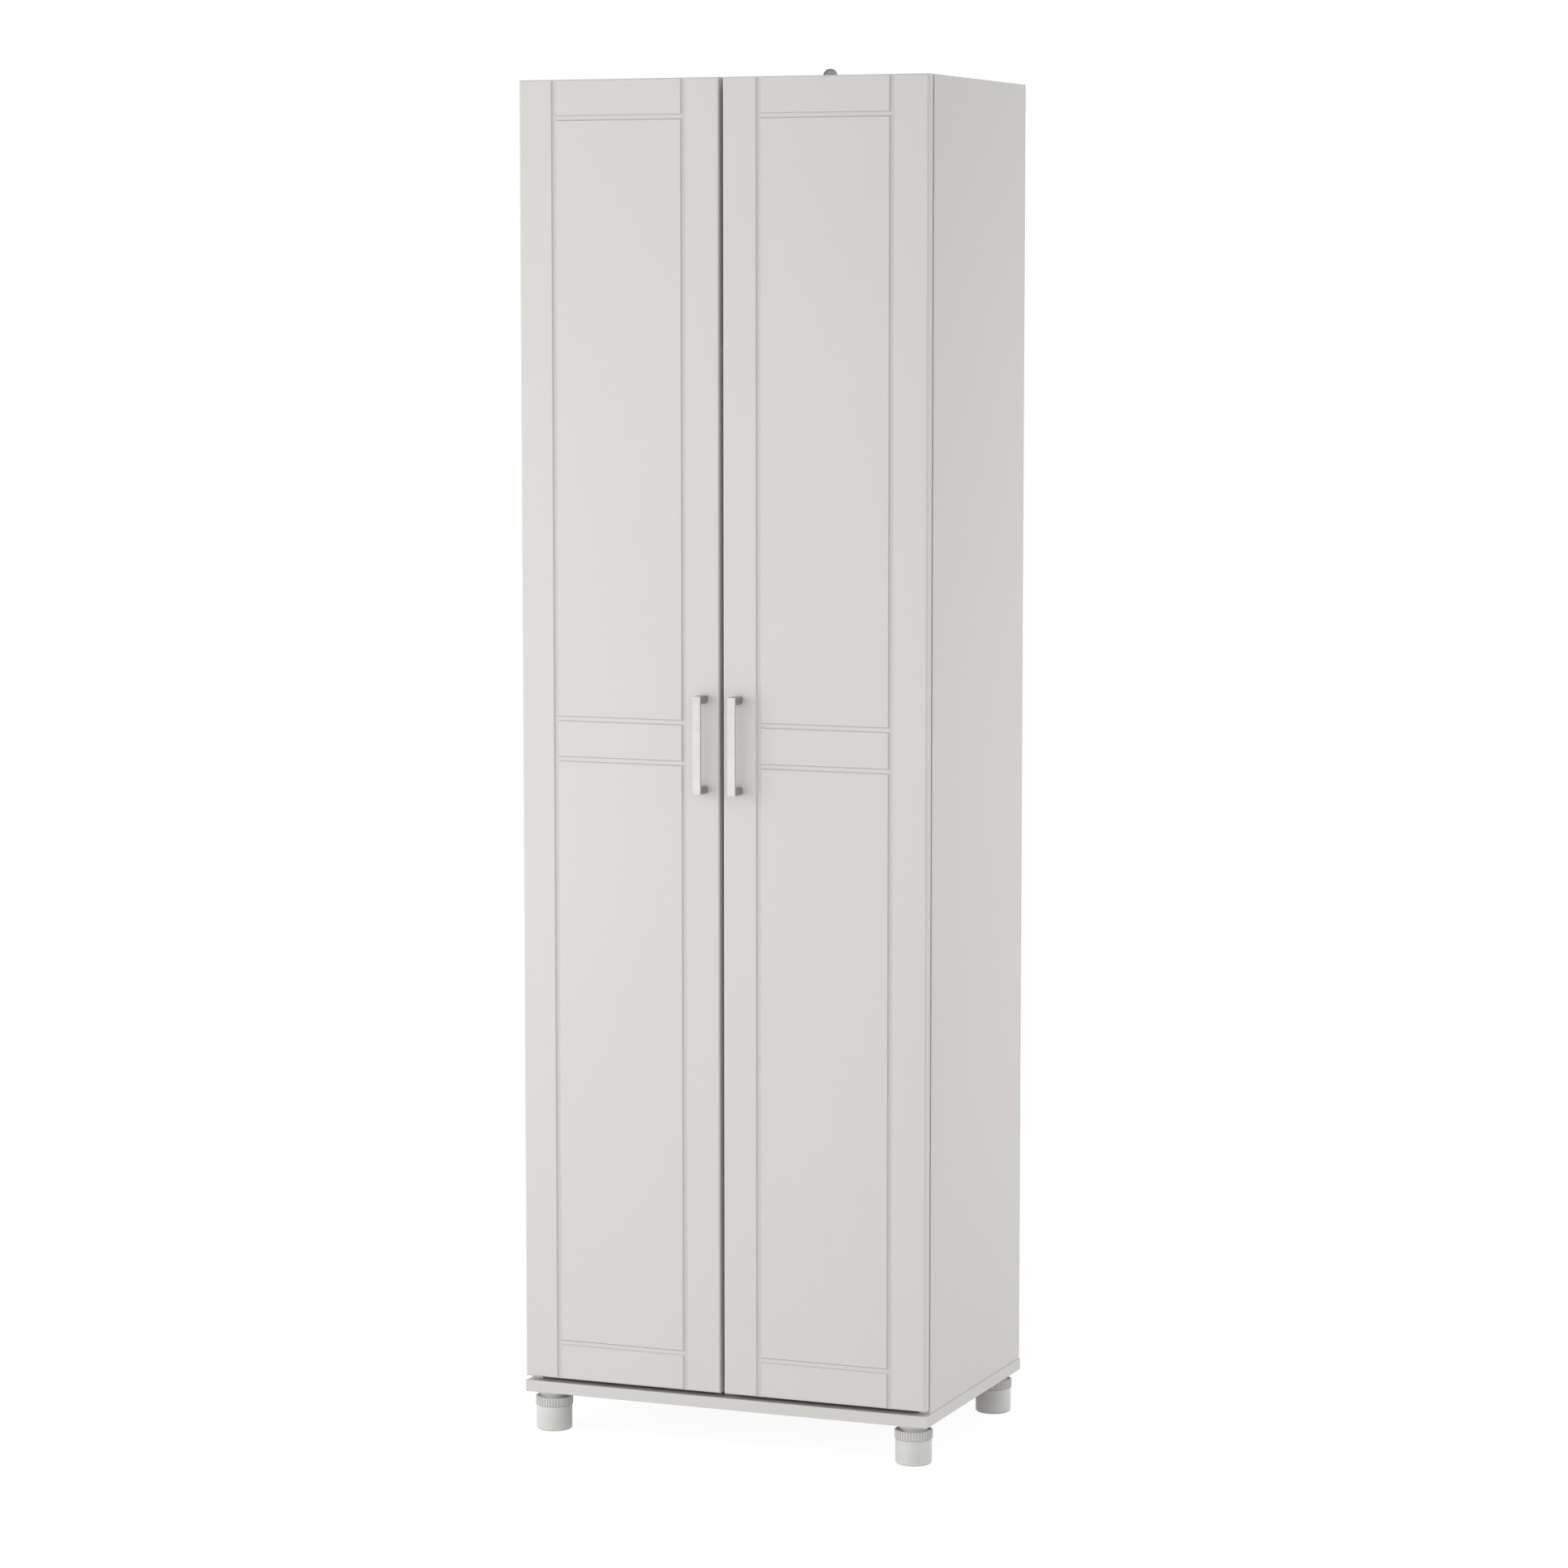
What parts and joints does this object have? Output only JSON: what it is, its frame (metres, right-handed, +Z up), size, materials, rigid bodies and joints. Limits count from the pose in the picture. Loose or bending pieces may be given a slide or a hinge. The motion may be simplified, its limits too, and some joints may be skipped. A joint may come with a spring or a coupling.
{
  "type": "broom cupboard",
  "caption": "Tall broom cupboard with hinged framed doors, bar handles, a broom bay beside adjustable shelves, an upper compartment and ribbed levelling feet.",
  "frame": {"origin": "on the floor, below the middle of the box that holds the whole cupboard with its handles", "axes": "+Z up, the doors face -Y, +X to the right as seen from the front"},
  "size_m": [0.596, 0.418, 1.894],
  "materials": {
    "laminate": "matt pale grey-white laminate on board",
    "hardboard": "hardboard, coated pale inside, bare brown behind",
    "fold_tape": "matt tape",
    "satin_nickel": "satin nickel plate",
    "zinc_steel": "bright zinc plate",
    "bracket_steel": "dull zinc plate",
    "foot_plastic": "pale grey moulded plastic",
    "bumper_rubber": "soft milky rubber",
    "beech": "fluted beech, left bare"
  },
  "bodies": {
    "carcass": {"base_panel": "laminate", "left_side_panel": "laminate", "right_side_panel": "laminate", "top_panel": "laminate", "fixed_shelf": "laminate", "divider_panel": "laminate", "adjustable_shelf_lower": "laminate", "adjustable_shelf_middle": "laminate", "adjustable_shelf_upper": "laminate", "back_panel_left": "hardboard", "back_panel_right": "hardboard", "back_fold_tape": "fold_tape", "back_nails": "zinc_steel", "cam_locks": "zinc_steel", "cam_bolts": "zinc_steel", "dowels": "beech", "assembly_screws": "zinc_steel", "shelf_pins": "zinc_steel", "wall_bracket": "bracket_steel", "wall_bracket_screws": "zinc_steel", "hinge_plate_screws": "zinc_steel", "hinge_clamp_screws": "zinc_steel", "foot_sockets": "foot_plastic", "foot_socket_screws": "zinc_steel", "left_hinge_arms": "satin_nickel", "left_hinge_plates": "satin_nickel", "right_hinge_arms": "satin_nickel", "right_hinge_plates": "satin_nickel"},
    "left_door": {"left_door_panel": "laminate", "left_door_bumpers": "bumper_rubber", "left_handle": "satin_nickel", "left_handle_screws": "zinc_steel", "left_hinge_cups": "satin_nickel", "left_hinge_pins": "zinc_steel", "left_hinge_cup_screws": "zinc_steel"},
    "right_door": {"right_door_panel": "laminate", "right_door_bumpers": "bumper_rubber", "right_handle": "satin_nickel", "right_handle_screws": "zinc_steel", "right_hinge_cups": "satin_nickel", "right_hinge_pins": "zinc_steel", "right_hinge_cup_screws": "zinc_steel"},
    "front_left_collar": {"front_left_foot_collar": "foot_plastic"},
    "front_left_cup": {"front_left_foot_cup": "foot_plastic"},
    "front_right_collar": {"front_right_foot_collar": "foot_plastic"},
    "front_right_cup": {"front_right_foot_cup": "foot_plastic"},
    "back_left_collar": {"back_left_foot_collar": "foot_plastic"},
    "back_left_cup": {"back_left_foot_cup": "foot_plastic"},
    "back_right_collar": {"back_right_foot_collar": "foot_plastic"},
    "back_right_cup": {"back_right_foot_cup": "foot_plastic"}
  },
  "joints": [
    {"name": "left_door_swing", "type": "hinge", "parent": "carcass", "child": "left_door", "pos_m": [-0.286, -0.174, 0.973], "axis": [0, 0, -1], "range_deg": [0, 100], "stiffness_Nm_per_rad": 0.2, "springref_deg": -85.94},
    {"name": "right_door_swing", "type": "hinge", "parent": "carcass", "child": "right_door", "pos_m": [0.286, -0.174, 0.973], "axis": [0, 0, 1], "range_deg": [0, 100], "stiffness_Nm_per_rad": 0.2, "springref_deg": -85.94},
    {"name": "front_left_collar_turn", "type": "hinge", "parent": "carcass", "child": "front_left_collar", "pos_m": [-0.268, -0.149, 0.04], "axis": [0, 0, 1], "range_deg": [0, 1080]},
    {"name": "front_left_cup_lower", "type": "slide", "parent": "carcass", "child": "front_left_cup", "axis": [0, 0, -1], "range_m": [0, 0.0075]},
    {"name": "front_right_collar_turn", "type": "hinge", "parent": "carcass", "child": "front_right_collar", "pos_m": [0.268, -0.149, 0.04], "axis": [0, 0, 1], "range_deg": [0, 1080]},
    {"name": "front_right_cup_lower", "type": "slide", "parent": "carcass", "child": "front_right_cup", "axis": [0, 0, -1], "range_m": [0, 0.0075]},
    {"name": "back_left_collar_turn", "type": "hinge", "parent": "carcass", "child": "back_left_collar", "pos_m": [-0.268, 0.176, 0.04], "axis": [0, 0, 1], "range_deg": [0, 1080]},
    {"name": "back_left_cup_lower", "type": "slide", "parent": "carcass", "child": "back_left_cup", "axis": [0, 0, -1], "range_m": [0, 0.0075]},
    {"name": "back_right_collar_turn", "type": "hinge", "parent": "carcass", "child": "back_right_collar", "pos_m": [0.268, 0.176, 0.04], "axis": [0, 0, 1], "range_deg": [0, 1080]},
    {"name": "back_right_cup_lower", "type": "slide", "parent": "carcass", "child": "back_right_cup", "axis": [0, 0, -1], "range_m": [0, 0.0075]}
  ],
  "couplings": [
    {"joint": "front_left_collar_turn", "follows": "front_left_cup_lower", "rad_per_m": 2513.3},
    {"joint": "front_right_collar_turn", "follows": "front_right_cup_lower", "rad_per_m": 2513.3},
    {"joint": "back_left_collar_turn", "follows": "back_left_cup_lower", "rad_per_m": 2513.3},
    {"joint": "back_right_collar_turn", "follows": "back_right_cup_lower", "rad_per_m": 2513.3}
  ]
}
